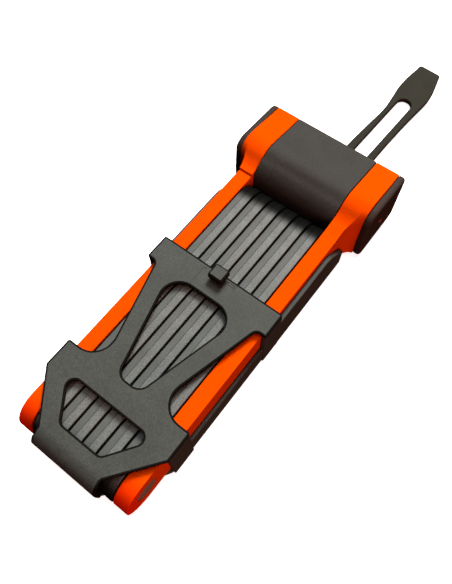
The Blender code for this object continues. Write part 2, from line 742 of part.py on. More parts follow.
def rail(side):
    """One side rail's parts as (outer face, outline) pairs: a tall upper one, a low one and two tab feet."""
    (upper_low, upper_high), (lower_low, lower_high) = tab_spans()
    tall = rounded(
        [
            (upper_high + GAP, PLATE_BACK, 0),
            (CHANNEL_HIGH, PLATE_BACK, 0),
            (CHANNEL_HIGH, RAIL_END_FRONT, 3.0),
            (CHANNEL_HIGH - RAIL_SLOPE, RAIL_TOP_FRONT, 9.0),
            (upper_high + GAP, RAIL_TOP_FRONT, 1.5),
        ]
    )
    spans = [(RAIL_WAIST_OUTER, lower_low, upper_high + 1)]
    spans += [(PANEL_HALF, low, high) for low, high in tab_spans()]
    made = [(RAIL_TALL_OUTER, tall)]
    for outer, low, high in spans:
        section = [(low, PLATE_BACK), (high, PLATE_BACK), (high, TAB_SPLIT), (low, TAB_SPLIT)]
        made.append((outer, section))
    return made


def holder_back(material):
    """The rear plate with its two slotted screw holes, the side rails, and the strap's tongue."""
    outline = rounded(
        mirrored(
            [
                (RAIL_WAIST_OUTER - 0.4, PLATE_HIGH, 0.0),
                (RAIL_WAIST_OUTER - 0.4, PANEL_TOP - 71.7, 2.0),
                (PLATE_TAPER_HALF, PANEL_TOP - 90.0, 3.0),
                (PLATE_LOW_HALF, HOLDER_LOW, 3.0),
            ]
        )
    )
    plate = prism("holder_back", "Z", outline, PLATE_BACK, PLATE_FRONT, material)
    left = STRAP_X - TONGUE_HALF
    right = STRAP_X + TONGUE_HALF
    low = PLATE_HIGH - 2
    high = LAP_END - 1
    tongue = rounded([(left, low, 0), (right, low, 0), (right, high, 3.0), (left, high, 3.0)])
    join(plate, prism("tongue", "Z", tongue, PLATE_BACK, TONGUE_FRONT_Z))
    for side in (-1, 1):
        for outer, section in rail(side):
            ends = sorted((side * RAIL_INNER, side * outer))
            join(plate, prism("rail", "X", section, *ends))
    for y in (-HOLE_SPACING / 2, HOLE_SPACING / 2):
        slot = arc((0, y + SCREW_SHIFT), SCREW_RADIUS, 0, 180, 6)
        slot += arc((0, y - SCREW_SHIFT), SCREW_RADIUS, 180, 360, 6)
        cut(plate, prism("screw_slot", "Z", slot, -3, 5))
    for x in STRAP_RIVET_X:
        cut(plate, rod("bore", "Z", (x, STRAP_RIVET_Y), STRAP_RIVET_RADIUS + GAP, -3, 5, steps=12))
    return smooth(plate)


def strap_band(low, high):
    """The outline of a straight stretch of the strap."""
    left = STRAP_X - STRAP_HALF
    right = STRAP_X + STRAP_HALF
    return [(left, low), (right, low), (right, high), (left, high)]


def strap_end(low):
    """The outline of the strap's last stretch: it leans to the right and broadens past its slot."""
    corners = [
        (7.4, STRAP_END, 2.0),
        (10.8, SLOT_END + 6, 9.0),
        (9.3, SLOT_END - 13, 12.0),
        (STRAP_HALF, low, 0),
        (-STRAP_HALF, low, 0),
        (-5.6, SLOT_END - 13, 12.0),
        (-7.0, SLOT_END + 6, 9.0),
        (-5.2, STRAP_END, 2.0),
    ]
    return [(STRAP_X + x, y) for x, y in rounded(corners)]


def strap_parts(materials):
    """The riveted root, the stretch that folds up behind the head's end, and the slotted tip."""
    rubber = materials["rubber"]
    half_gap = GAP / 2
    lap = strap_band(STRAP_ROOT, LAP_END + 1)
    root = prism("strap_root", "Z", lap, LAP_BACK, STRAP_FRONT, rubber)
    thick = strap_band(LAP_END, STRAP_HINGE - half_gap)
    join(root, prism("thick", "Z", thick, STRAP_BACK, STRAP_FRONT))
    head_back = STRAP_FRONT - STRAP_RIVET_HEAD_THICK
    pins = []
    for number, x in enumerate(STRAP_RIVET_X, start=1):
        at = (x, STRAP_RIVET_Y)
        bore = STRAP_RIVET_RADIUS + GAP
        seat = STRAP_RIVET_HEAD + GAP
        cut(root, rod("bore", "Z", at, bore, -3, 6, steps=12))
        cut(root, rod("seat", "Z", at, seat, head_back - GAP, 6, steps=12))
        pin = rod(
            f"strap_rivet_{number}",
            "Z",
            at,
            STRAP_RIVET_RADIUS,
            PLATE_BACK + 0.2,
            head_back + 0.3,
            materials["steel"],
            12,
        )
        head = rod("head", "Z", at, STRAP_RIVET_HEAD, head_back, STRAP_FRONT, steps=12)
        pins.append(smooth(join(pin, head)))
    slot_low = STRAP_HINGE + 4
    stretch = strap_band(STRAP_HINGE + half_gap, STRAP_FOLD - half_gap)
    middle = prism("strap_middle", "Z", stretch, STRAP_BACK, STRAP_FRONT, rubber)
    tip = prism("strap_tip", "Z", strap_end(STRAP_FOLD + half_gap), STRAP_BACK, STRAP_FRONT, rubber)
    slot = arc((STRAP_X + SLOT_LEAN, SLOT_END - SLOT_HALF), SLOT_HALF, 0, 180, 8)
    for y in (STRAP_FOLD, slot_low):
        slot.append((STRAP_X - SLOT_HALF, y))
    for y in (slot_low, STRAP_FOLD):
        slot.append((STRAP_X + SLOT_HALF, y))
    cut(middle, prism("slot", "Z", slot, -3, 9))
    cut(tip, prism("slot", "Z", slot, -3, 9))
    return smooth(root), middle, smooth(tip), pins


def make_materials():
    return {
        "orange": make_material("orange_plastic", (0.87, 0.13, 0.01), 0.45),
        "bar_grey": make_material("bar_grey", (0.14, 0.15, 0.145), 0.6),
        "holder": make_material("holder_plastic", (0.07, 0.075, 0.07), 0.6),
        "head": make_material("head_plastic", (0.055, 0.05, 0.045), 0.5),
        "cap": make_material("cap_plastic", (0.045, 0.038, 0.034), 0.45),
        "rubber": make_material("strap_rubber", (0.05, 0.045, 0.038), 0.7),
        "steel": make_material("steel", (0.45, 0.42, 0.4), 0.35, 1.0),
        "brass": make_material("brass", (0.6, 0.46, 0.2), 0.3, 1.0),
        "red": make_material("red_plastic", (0.45, 0.03, 0.02), 0.4),
    }


def main():
    clear_scene()
    materials = make_materials()
    back = holder_back(materials["holder"])
    front = holder_front(materials["holder"])
    root, middle, tip, pins = strap_parts(materials)
    body("holder", (0, 0, 0), [back, front, root, *pins])
    body("strap_lift", (STRAP_X, STRAP_HINGE, STRAP_FRONT), [middle])
    body("strap_fold", (STRAP_X, STRAP_FOLD, STRAP_FRONT), [tip])

    arm_cover, arm_core, core_face = arm(materials)
    right_cap, left_cap, mark, dust_cover = caps(materials)
    case, lid = lock_case(materials)
    housing, plug, crank = cylinder_parts(materials)
    bolt, spring = bolt_parts(materials)
    head = [arm_cover, arm_core, head_centre(materials["head"]), left_block(materials["orange"])]
    head += [right_cap, left_cap, mark, case, lid, *arm_bolts(core_face, materials["steel"]), housing]
    lower, upper = rivets(materials["steel"])
    body("lock", (0, BOTTOM_PIVOT, BAR_Z), [*head, spring, lower[0]])
    body("cover_slide", (0, CYLINDER_Y, CYLINDER_Z), [dust_cover])
    body("plug_turn", (0, CYLINDER_Y, CYLINDER_Z), [plug, crank])
    body("bolt_slide", (0, BOLT_LOW, BOLT_BACK), [bolt])

    sleeves, cores = grey_bars(materials)
    pivot = (0, BOTTOM_PIVOT, BAR_Z)
    for number in range(3):
        pair = (5 - 2 * number, 4 - 2 * number)
        pieces = [piece[index] for index in pair for piece in (sleeves, cores)]
        body(f"pair_{number + 1}", pivot, pieces + [upper[number], lower[number + 1]])
    sleeve, core = left_bar(materials)
    body("left_bar", pivot, [sleeve, core])


main()
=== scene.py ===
"""The looks of a folding bike lock in its frame holder.

The outer parts of the CAD frame are replaced by finer meshes with rounded edges. The others keep their CAD
shape. All have procedural materials. Lengths are in millimetres, and MM turns them into metres. Depths along
Z are counted from a datum inside the holder's rear plate, and LIFT raises them to the frame's own Z.
Outlines across X are (y, z) points, and outlines across Z are (x, y) points.
"""

import json
import math

import bmesh
import bpy
from mathutils import Matrix, Vector
from mathutils.geometry import tessellate_polygon


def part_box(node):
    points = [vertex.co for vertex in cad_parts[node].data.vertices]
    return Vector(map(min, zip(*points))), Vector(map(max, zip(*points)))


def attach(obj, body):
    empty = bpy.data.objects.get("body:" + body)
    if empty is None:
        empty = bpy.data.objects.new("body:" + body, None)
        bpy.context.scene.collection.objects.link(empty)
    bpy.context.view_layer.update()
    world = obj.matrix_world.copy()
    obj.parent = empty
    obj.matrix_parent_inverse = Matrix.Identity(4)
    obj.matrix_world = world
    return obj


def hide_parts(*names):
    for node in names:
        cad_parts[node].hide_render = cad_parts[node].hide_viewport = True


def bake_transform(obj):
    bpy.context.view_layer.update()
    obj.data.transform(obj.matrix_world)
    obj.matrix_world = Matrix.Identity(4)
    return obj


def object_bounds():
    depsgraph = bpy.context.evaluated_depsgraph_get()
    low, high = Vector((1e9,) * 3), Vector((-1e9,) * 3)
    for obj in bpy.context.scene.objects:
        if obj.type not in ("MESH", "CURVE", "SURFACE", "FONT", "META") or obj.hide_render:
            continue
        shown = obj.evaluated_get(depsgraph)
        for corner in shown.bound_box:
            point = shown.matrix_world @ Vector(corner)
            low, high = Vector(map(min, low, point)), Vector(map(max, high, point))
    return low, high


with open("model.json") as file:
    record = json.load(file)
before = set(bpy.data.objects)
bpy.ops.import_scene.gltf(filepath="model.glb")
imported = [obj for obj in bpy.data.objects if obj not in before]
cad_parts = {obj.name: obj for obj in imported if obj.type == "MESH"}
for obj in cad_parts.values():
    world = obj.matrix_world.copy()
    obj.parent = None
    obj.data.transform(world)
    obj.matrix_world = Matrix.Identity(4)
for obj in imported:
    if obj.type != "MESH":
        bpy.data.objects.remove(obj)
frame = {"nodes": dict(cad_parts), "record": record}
CAD_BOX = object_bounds()
MM = 0.001


def node_box(name):
    """A CAD node's lowest and highest corners, in millimetres."""
    low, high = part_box(name)
    return low / MM, high / MM


# Driving places, read from the frame.
BAR_LOW, BAR_HIGH = node_box("bar_sleeve_1")
BAR_RADIUS = (BAR_HIGH.z - BAR_LOW.z) / 2
BAR_HALF = (BAR_HIGH.x - BAR_LOW.x) / 2
BAR_BACK = 2.0  # above the datum
LIFT = BAR_LOW.z - BAR_BACK
BAR_Z = BAR_BACK + BAR_RADIUS
BAR_FRONT = BAR_BACK + 2 * BAR_RADIUS
BOTTOM_PIVOT = BAR_LOW.y + BAR_RADIUS
TOP_PIVOT = BAR_HIGH.y - BAR_RADIUS
SIDE_LOW, SIDE_HIGH = node_box("left_bar_sleeve")
ORANGE_INNER = -SIDE_HIGH.x
ORANGE_OUTER = -SIDE_LOW.x
SEAM = SIDE_HIGH.y
BLOCK_LOW = node_box("head_block_left")[0]
BLOCK_OUTER = -BLOCK_LOW.x
COVER_LOW, COVER_HIGH = node_box("head_cover")
HEAD_LOW = COVER_LOW.y
HEAD_HIGH = COVER_HIGH.y
HEAD_HALF = COVER_HIGH.x
CAP_LOW, CAP_HIGH = node_box("end_cap_right")
SHUTTER_LOW, SHUTTER_HIGH = node_box("dust_cover")
FRONT_LOW, FRONT_HIGH = node_box("holder_front")
PANEL_HALF = FRONT_HIGH.x
HOLDER_LOW = FRONT_LOW.y
KNOB_HIGH = FRONT_HIGH.y
KNOB_FRONT = FRONT_HIGH.z - LIFT
PANEL_FRONT = KNOB_FRONT - 5.2  # the hook stands this far out of the panel
PANEL_TOP = KNOB_HIGH - 1.0
PLATE_BACK = -LIFT
ROOT_LOW, ROOT_HIGH = node_box("strap_root")
TIP_LOW, TIP_HIGH = node_box("strap_tip")
STRAP_X = (ROOT_LOW.x + ROOT_HIGH.x) / 2
STRAP_BACK = ROOT_LOW.z - LIFT
STRAP_FRONT = ROOT_HIGH.z - LIFT
STRAP_END = TIP_HIGH.y
STRAP_FOLD = TIP_LOW.y
STRAP_HINGE = ROOT_HIGH.y

# Shared measures.
BORE_RADIUS = 5.25  # the rivets' bores
BLOCK_BACK = 1.0  # the side blocks' rear face
KEYWAY = (100.0, 14.0)  # (y, z) of the plug's axis
KEYWAY_RADIUS = 6.9
RIVET_SHANK = 3.4  # radius
RIVET_HEAD = 0.6  # thickness
STRAP_HALF = 8.4
STRAP_SLOT = 3.9  # half the slot's width


# Outlines.


def arc(centre, radius, start, end, steps):
    """Points on a circle from the angle start to the angle end, in degrees."""
    angles = [math.radians(start + (end - start) * i / steps) for i in range(steps + 1)]
    return [(centre[0] + radius * math.cos(a), centre[1] + radius * math.sin(a)) for a in angles]


def rounded(corners, steps=6):
    """An outline through (a, b, radius) corners, with each corner turned into an arc of its radius."""
    points = []
    count = len(corners)
    for i, (a, b, radius) in enumerate(corners):
        here = Vector((a, b))
        if radius == 0:
            points.append((a, b))
            continue
        before = (Vector(corners[i - 1][:2]) - here).normalized()
        after = (Vector(corners[(i + 1) % count][:2]) - here).normalized()
        half = before.angle(after) / 2
        centre = here + (before + after).normalized() * radius / math.sin(half)
        first = here + before * radius / math.tan(half) - centre
        last = here + after * radius / math.tan(half) - centre
        turn = first.angle_signed(last)
        for k in range(steps + 1):
            spoke = first.copy()
            spoke.rotate(Matrix.Rotation(-turn * k / steps, 2))
            points.append(tuple(centre + spoke))
    return points


def mirrored(half):
    """A whole outline from the (x, y, radius) corners of its right half, listed from top to bottom."""
    return half + [(-x, y, radius) for x, y, radius in reversed(half)]


def through(points, steps=5):
    """A smooth open line through the points (a Catmull-Rom spline)."""
    made = []
    last = len(points) - 1
    for i in range(last):
        p0, p1, p2, p3 = [Vector(points[min(max(k, 0), last)]) for k in (i - 1, i, i + 1, i + 2)]
        for k in range(steps):
            t = k / steps
            spot = 2 * p1 + (p2 - p0) * t + (2 * p0 - 5 * p1 + 4 * p2 - p3) * t**2
            spot += (3 * p1 - p0 - 3 * p2 + p3) * t**3
            made.append(tuple(spot / 2))
    made.append(tuple(points[-1]))
    return made


def area(loop):
    """The area inside the loop, negative if it runs clockwise."""
    following = loop[1:] + loop[:1]
    return sum(a[0] * b[1] - b[0] * a[1] for a, b in zip(loop, following)) / 2


def wound(loop, hole=False):
    """The loop run so that its solid side is on the left."""
    return loop if (area(loop) > 0) != hole else list(reversed(loop))


def inset(loop, depth):
    """The loop moved into the solid on its left by depth."""
    made = []
    count = len(loop)
    for i, point in enumerate(loop):
        here = Vector(point)
        before = (here - Vector(loop[i - 1])).normalized()
        after = (Vector(loop[(i + 1) % count]) - here).normalized()
        first = Vector((-before.y, before.x))
        second = Vector((-after.y, after.x))
        made.append(here + (first + second) * depth / (1 + first.dot(second)))
    return made


def edges(low, high, radius, steps=3, far=None):
    """A profile of (along, inset) points with rounded ends. far is the high end's radius, if it differs."""
    angles = [math.radians(90 * k / steps) for k in range(steps + 1)]
    far = radius if far is None else far
    first = [(low + radius * (1 - math.cos(a)), radius * (1 - math.sin(a))) for a in angles]
    last = [(high - far * (1 - math.cos(a)), far * (1 - math.sin(a))) for a in reversed(angles)]
    return first + last


# Meshes.


def placed(axis, a, b, along):
    """The point with outline coordinates (a, b), at the distance along the axis."""
    return {"X": (along, a, b), "Y": (a, along, b), "Z": (a, b, along)}[axis]


def make_object(name, builder, *materials):
    """An object from a bmesh in millimetres above the datum."""
    bmesh.ops.recalc_face_normals(builder, faces=builder.faces)
    bmesh.ops.translate(builder, vec=(0, 0, LIFT), verts=builder.verts)
    bmesh.ops.scale(builder, vec=(MM, MM, MM), verts=builder.verts)
    mesh = bpy.data.meshes.new(name)
    builder.to_mesh(mesh)
    builder.free()
    for material in materials:
        mesh.materials.append(material)
    made = bpy.data.objects.new(name, mesh)
    bpy.context.scene.collection.objects.link(made)
    return made


def slab(name, axis, loops, profile, *materials, bands=None):
    """A solid within loops, through a profile of (along, inset) points.

    The first loop is its outline and the others are holes. bands gives each stretch of the profile its
    material's number.
    """
    loops = [wound(loop, hole=i > 0) for i, loop in enumerate(loops)]
    builder = bmesh.new()
    levels = []
    for along, depth in profile:
        rings = []
        for loop in loops:
            ring = inset(loop, depth)
            rings.append([builder.verts.new(placed(axis, p[0], p[1], along)) for p in ring])
        levels.append(rings)
    for k, (lower, upper) in enumerate(zip(levels, levels[1:])):
        for first, second in zip(lower, upper):
            for i in range(len(first)):
                j = (i + 1) % len(first)
                face = builder.faces.new((first[i], first[j], second[j], second[i]))
                face.material_index = bands[k] if bands else 0
    for rings in (levels[0], levels[-1]):
        verts = [v for ring in rings for v in ring]
        if len(rings) == 1:
            builder.faces.new(verts)
            continue
        for corners in tessellate_polygon([[v.co for v in ring] for ring in rings]):
            builder.faces.new([verts[i] for i in corners]).material_index = 0
    return make_object(name, builder, *materials)


def box(low, high):
    """A plain box between two corners, as a tool."""
    outline = [(low[0], low[1]), (high[0], low[1]), (high[0], high[1]), (low[0], high[1])]
    return slab("tool", "Z", [outline], [(low[2], 0), (high[2], 0)])


def rod(axis, centre, radius, low, high, steps=40):
    """A plain cylinder along the axis, as a tool."""
    return slab("tool", axis, [arc(centre, radius, 0, 360, steps)[:-1]], [(low, 0), (high, 0)])


def combine(target, tool, operation):
    """Cuts or joins target with tool, bakes the result and deletes the tool."""
    modifier = target.modifiers.new(operation.title(), "BOOLEAN")
    modifier.operation = operation
    modifier.solver = "EXACT"
    modifier.object = tool
    graph = bpy.context.evaluated_depsgraph_get()
    baked = bpy.data.meshes.new_from_object(target.evaluated_get(graph))
    target.modifiers.clear()
    target.data = baked
    bpy.data.objects.remove(tool, do_unlink=True)
    return target


def cut(target, tool):
    """The target with the tool cut away."""
    return combine(target, tool, "DIFFERENCE")


def gathered(target, others):
    """Adds the other pieces' meshes to the target's, and deletes them."""
    builder = bmesh.new()
    builder.from_mesh(target.data)
    for other in others:
        builder.from_mesh(other.data)
        bpy.data.objects.remove(other, do_unlink=True)
    builder.to_mesh(target.data)
    builder.free()
    return target


def reshape(target, change):
    """Bakes a change into the target's mesh. The change is given a bmesh in millimetres above the datum."""
    builder = bmesh.new()
    builder.from_mesh(target.data)
    bmesh.ops.scale(builder, vec=(1 / MM,) * 3, verts=builder.verts)
    bmesh.ops.translate(builder, vec=(0, 0, -LIFT), verts=builder.verts)
    change(builder)
    bmesh.ops.translate(builder, vec=(0, 0, LIFT), verts=builder.verts)
    bmesh.ops.scale(builder, vec=(MM,) * 3, verts=builder.verts)
    builder.to_mesh(target.data)
    builder.free()
    return target


def sliced(builder, axis, places):
    """Adds a loop of edges across the mesh at each place along the axis."""
    normal = placed(axis, 0, 0, 1)
    for place in places:
        everything = builder.verts[:] + builder.edges[:] + builder.faces[:]
        spot = placed(axis, 0, 0, place)
        bmesh.ops.bisect_plane(builder, geom=everything, plane_co=spot, plane_no=normal)


def finished(target, angle=38):
    """Smooth shading that keeps large flat faces flat."""
    target.data.shade_smooth()
    target.data.set_sharp_from_angle(angle=math.radians(angle))
    modifier = target.modifiers.new("Shading", "WEIGHTED_NORMAL")
    modifier.keep_sharp = True
    return target


def show(piece, body, slot, *nodes):
    """Rides the piece on its body, in place of these CAD nodes."""
    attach(piece, body)
    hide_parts(*nodes)
    return piece


# Materials.


def tree_of(name, roughness, metallic=0.0, specular=0.5):
    """A new material with its shader and object coordinates in millimetres."""
    material = bpy.data.materials.new(name)
    material.use_nodes = True
    tree = material.node_tree
    shader = tree.nodes["Principled BSDF"]
    shader.inputs["Roughness"].default_value = roughness
    shader.inputs["Metallic"].default_value = metallic
    shader.inputs["Specular IOR Level"].default_value = specular
    coordinates = tree.nodes.new("ShaderNodeTexCoord")
    mapping = tree.nodes.new("ShaderNodeMapping")
    mapping.inputs["Scale"].default_value = (1 / MM, 1 / MM, 1 / MM)
    tree.links.new(coordinates.outputs["Object"], mapping.inputs["Vector"])
    return material, tree, shader, mapping.outputs["Vector"]


def noise(tree, vector, per_mm, detail=2.0, rough=0.5):
    """A noise value, with per_mm features to the millimetre."""
    node = tree.nodes.new("ShaderNodeTexNoise")
    node.inputs["Scale"].default_value = per_mm
    node.inputs["Detail"].default_value = detail
    node.inputs["Roughness"].default_value = rough
    tree.links.new(vector, node.inputs["Vector"])
    return node.outputs["Fac"]


def stretched(tree, vector, scale):
    """The coordinates with each axis scaled, for brushed or drawn-out patterns."""
    node = tree.nodes.new("ShaderNodeMapping")
    node.inputs["Scale"].default_value = scale
    tree.links.new(vector, node.inputs["Vector"])
    return node.outputs["Vector"]


def ramp(tree, value, stops):
    """A colour ramp of (position, colour) stops."""
    node = tree.nodes.new("ShaderNodeValToRGB")
    while len(node.color_ramp.elements) < len(stops):
        node.color_ramp.elements.new(0.5)
    for element, (position, colour) in zip(node.color_ramp.elements, stops):
        element.position = position
        element.color = (*colour, 1.0)
    tree.links.new(value, node.inputs["Fac"])
    return node.outputs["Color"]


def mixed(tree, kind, factor, first, second):
    """Two colours mixed by a fixed factor."""
    node = tree.nodes.new("ShaderNodeMix")
    node.data_type = "RGBA"
    node.blend_type = kind
    node.inputs[0].default_value = factor
    tree.links.new(first, node.inputs[6])
    tree.links.new(second, node.inputs[7])
    return node.outputs[2]


def varied(tree, value, low, high):
    """A noise value stretched to run from low to high."""
    node = tree.nodes.new("ShaderNodeMapRange")
    node.inputs["From Min"].default_value = 0.3
    node.inputs["From Max"].default_value = 0.7
    node.inputs["To Min"].default_value = low
    node.inputs["To Max"].default_value = high
    tree.links.new(value, node.inputs["Value"])
    return node.outputs["Result"]


def bumped(tree, shader, value, strength, height):
    """Roughens the surface by the value, up to a height in millimetres."""
    node = tree.nodes.new("ShaderNodeBump")
    node.inputs["Strength"].default_value = strength
    node.inputs["Distance"].default_value = height * MM
    tree.links.new(value, node.inputs["Height"])
    tree.links.new(node.outputs["Normal"], shader.inputs["Normal"])


def along_bars(tree, place, start, end, stops):
    """A colour ramp that runs along the bars from start to end."""
    parts = tree.nodes.new("ShaderNodeSeparateXYZ")
    tree.links.new(place, parts.inputs["Vector"])
    along = tree.nodes.new("ShaderNodeMapRange")
    along.inputs["From Min"].default_value = start
    along.inputs["From Max"].default_value = end
    tree.links.new(parts.outputs["Y"], along.inputs["Value"])
    return ramp(tree, along.outputs["Result"], stops)


def painted_end_shadow(tree, place):
    """Painted shadow: white along the bars, turning almost black towards their round ends, in the shade
    under the head and at the lower ends.
    """
    stops = [(0.0, (1.0,) * 3), (0.35, (0.55,) * 3), (0.7, (0.12,) * 3), (1.0, (0.02,) * 3)]
    upper = along_bars(tree, place, TOP_PIVOT - 2.2, TOP_PIVOT + 2.6, stops)
    lower = along_bars(tree, place, BOTTOM_PIVOT - 2.0, BOTTOM_PIVOT - 11.0, stops)
    return mixed(tree, "MULTIPLY", 1.0, upper, lower)


def moulded(
    name,
    colour,
    roughness,
    mottle=0.1,
    grain=0.12,
    bump=0.03,
    specular=0.5,
    grain_size=2.2,
    ends=False,
    redder=False,
):
    """Moulded plastic: a fine grain, a slow mottle, and a roughness that varies with the grain.

    ends paints shadow on the bars' round ends, on their reflections too. redder paints shade on the orange's
    lower end, as a redder tint.
    """
    material, tree, shader, place = tree_of(name, roughness, specular=specular)
    slow = noise(tree, place, 0.09, 3.0)
    fine = noise(tree, place, grain_size, 3.0, 0.7)
    dark = tuple(c * (1 - mottle) for c in colour)
    light = tuple(c * (1 + mottle) for c in colour)
    body_colour = ramp(tree, slow, [(0.3, dark), (0.7, light)])
    speckle = ramp(tree, fine, [(0.32, (1 - grain,) * 3), (0.68, (1 + grain,) * 3)])
    surface = mixed(tree, "MULTIPLY", 1.0, body_colour, speckle)
    # Painted shadow on the bars' round ends, in the colour and in the reflections.
    if ends:
        shade = painted_end_shadow(tree, place)
        surface = mixed(tree, "MULTIPLY", 1.0, surface, shade)
        tree.links.new(shade, shader.inputs["Specular Tint"])
    # Painted shade: the orange turns redder towards its lower round end.
    if redder:
        stops = [(0.0, (1.0,) * 3), (1.0, (1.2, 0.25, 1.0))]
        red = along_bars(tree, place, BOTTOM_PIVOT + 2.0, BOTTOM_PIVOT - 12.0, stops)
        surface = mixed(tree, "MULTIPLY", 1.0, surface, red)
    tree.links.new(surface, shader.inputs["Base Color"])
    varying = varied(tree, fine, roughness - 0.05, roughness + 0.07)
    tree.links.new(varying, shader.inputs["Roughness"])
    bumped(tree, shader, fine, 0.6, bump)
    return material


def metal(name, colour, roughness, streak):
    """Machined metal: fine streaks along one axis and a slow stain."""
    material, tree, shader, place = tree_of(name, roughness, metallic=1.0)
    lines = noise(tree, stretched(tree, place, streak), 1.0, 4.0, 0.6)
    stain = noise(tree, place, 0.25, 3.0)
    dark = tuple(c * 0.8 for c in colour)
    base = ramp(tree, stain, [(0.3, dark), (0.7, colour)])
    scratch = ramp(tree, lines, [(0.35, (0.86,) * 3), (0.65, (1.08,) * 3)])
    tree.links.new(mixed(tree, "MULTIPLY", 1.0, base, scratch), shader.inputs["Base Color"])
    tree.links.new(varied(tree, lines, roughness - 0.06, roughness + 0.12), shader.inputs["Roughness"])
    bumped(tree, shader, lines, 0.4, 0.02)
    return material


def make_materials():
    """Every finish. After the colour come roughness, mottle, grain, bump, specular and grain size."""
    orange = (0.60, 0.048, 0.0)
    smooth = (0.066, 0.069, 0.065)
    speckled = (0.090, 0.094, 0.088)
    groove = (0.012, 0.011, 0.010)
    holder_grey = (0.0385, 0.041, 0.0365)
    # Painted shade for the holder's edges.
    painted_edge_shade = (0.006, 0.0055, 0.005)
    head_black = (0.027, 0.0245, 0.0215)
    cap_black = (0.030, 0.021, 0.0175)
    rubber = (0.019, 0.0178, 0.0134)
    brushed = (0.4, 4.0, 4.0)
    return {
        # The orange carries painted shade, redder at its lower end.
        "orange": moulded("orange_plastic", orange, 0.6, 0.03, 0.09, 0.02, 0.0, redder=True),
        # The grey bars carry painted shadow at their round ends.
        "smooth_bar": moulded("bar_grey_smooth", smooth, 0.6, 0.14, 0.2, 0.03, 0.15, 1.7, ends=True),
        "speckled_bar": moulded("bar_grey_speckled", speckled, 0.58, 0.14, 0.45, 0.07, 0.2, 2.4, ends=True),
        # Dark finish of the bars' groove, also painted shade on their edge chamfers.
        "groove": moulded("bar_groove", groove, 0.7, 0.05, 0.05, 0.02, 0.05),
        "holder": moulded("holder_plastic", holder_grey, 0.6, 0.1, 0.26, 0.05, 0.12, 1.3),
        "holder_edge_shade": moulded("holder_edge_shade", painted_edge_shade, 0.7, 0.05, 0.1, 0.02, 0.0),
        "head": moulded("head_plastic", head_black, 0.65, 0.08, 0.24, 0.05, 0.08, 1.5),
        "cap": moulded("cap_plastic", cap_black, 0.6, 0.08, 0.1, 0.02, 0.04),
        "rubber": moulded("strap_rubber", rubber, 0.75, 0.08, 0.1, 0.015, 0.05),
        "red": moulded("index_red", (1.0, 0.07, 0.03), 0.35, 0.02, 0.03, 0.005),
        "rivet": moulded("rivet_steel", (0.20, 0.15, 0.115), 0.45, 0.15, 0.1, 0.01, 0.5, 3.0),
        "steel": metal("steel", (0.42, 0.4, 0.38), 0.35, brushed),
        "brass": metal("brass", (0.62, 0.44, 0.18), 0.3, brushed),
    }


# The bars.


def bar_outline():
    """A bar's outline: two round ends about its two pivots."""
    lower = arc((BOTTOM_PIVOT, BAR_Z), BAR_RADIUS, 90, 270, 28)
    return lower + arc((TOP_PIVOT, BAR_Z), BAR_RADIUS, -90, 90, 28)


def sleeve_profile():
    """Across a grey bar's rim: a smooth left band set a little back, a groove, and a speckled right band.

    Each entry is (along, inset, material number of the stretch that follows).
    """
    half = BAR_HALF
    return [
        # Painted shade: the chamfers at both edges take the groove's dark finish, for the gaps between bars.
        (-half, 1.3, 2),
        (-half + 0.2, 0.5, 0),
        (-half + 0.38, 0.22, 0),
        (-half + 0.6, 0.12, 0),
        (-0.32, 0.12, 2),
        (-0.26, 0.26, 0),
        (-0.16, 0.26, 0),
        (0.0, 0.02, 1),
        (half - 0.6, 0.0, 1),
        (half - 0.32, 0.12, 1),
        (half - 0.18, 0.5, 2),
        (half, 1.3, 2),
    ]


def grey_bars(materials):
    """The six grey bars' sleeves, all copies of one mesh."""
    profile = sleeve_profile()
    sides = [(along, depth) for along, depth, _ in profile]
    bands = [number for _, _, number in profile]
    parts = (materials["smooth_bar"], materials["speckled_bar"], materials["groove"])
    master = slab("bar_master", "X", [bar_outline()], sides, *parts, bands=bands)
    for pivot in (BOTTOM_PIVOT, TOP_PIVOT):
        cut(master, rod("X", (pivot, BAR_Z), BORE_RADIUS, -BAR_HALF - 1, BAR_HALF + 1))
    bodies = frame["record"]["behaviour"]["bodies"]
    body_of = {name: body for body, names in bodies.items() for name in names}
    for number in range(1, 7):
        node = f"bar_sleeve_{number}"
        low, high = node_box(node)
        piece = bpy.data.objects.new(f"{node}_shell", master.data.copy())
        bpy.context.scene.collection.objects.link(piece)
        piece.location.x = (low.x + high.x) / 2 * MM
        show(finished(piece), body_of[node], "bar_grey", node)
    bpy.data.objects.remove(master, do_unlink=True)


def square_outline(end):
    """A bar's outline with a round lower end and a square upper end at the given height."""
    lower = arc((BOTTOM_PIVOT, BAR_Z), BAR_RADIUS, 90, 270, 36)
    return lower + [(end, BAR_BACK), (end, BAR_FRONT)]


def left_bar(materials):
    """The orange sleeve of the left-hand bar."""
    profile = edges(-ORANGE_OUTER, -ORANGE_INNER, 0.55)
    piece = slab("left_bar_sleeve_shell", "X", [square_outline(SEAM)], profile, materials["orange"])
    cut(piece, rod("X", (BOTTOM_PIVOT, BAR_Z), BORE_RADIUS, -ORANGE_OUTER - 1, -ORANGE_INNER + 1))
    show(finished(piece), "left_bar", "orange_plastic", "left_bar_sleeve")


# The lock head.


def crown():
    """The head's front, from above the flare up to its top end."""
    return [(82.0, 30.4), (85.0, 31.9), (88.5, 32.35), (94.0, 31.6), (103.0, 30.1), (109.0, 29.3)]


def top_end(back):
    """The head's top end and back edge, after its front."""
    high = HEAD_HIGH
    return arc((high - 2.6, 26.6), 2.6, 80, 0, 6) + arc((high - 1.5, back + 1.5), 1.5, 0, -90, 5)


def block_outline(low, back):
    """A side block across X: a hollow flare up from the bar's front, then the crown."""
    front = through([(low, 25.7), (76.4, 26.3), (79.2, 28.0), *crown()], 6)
    return front + top_end(back) + [(low, back)]


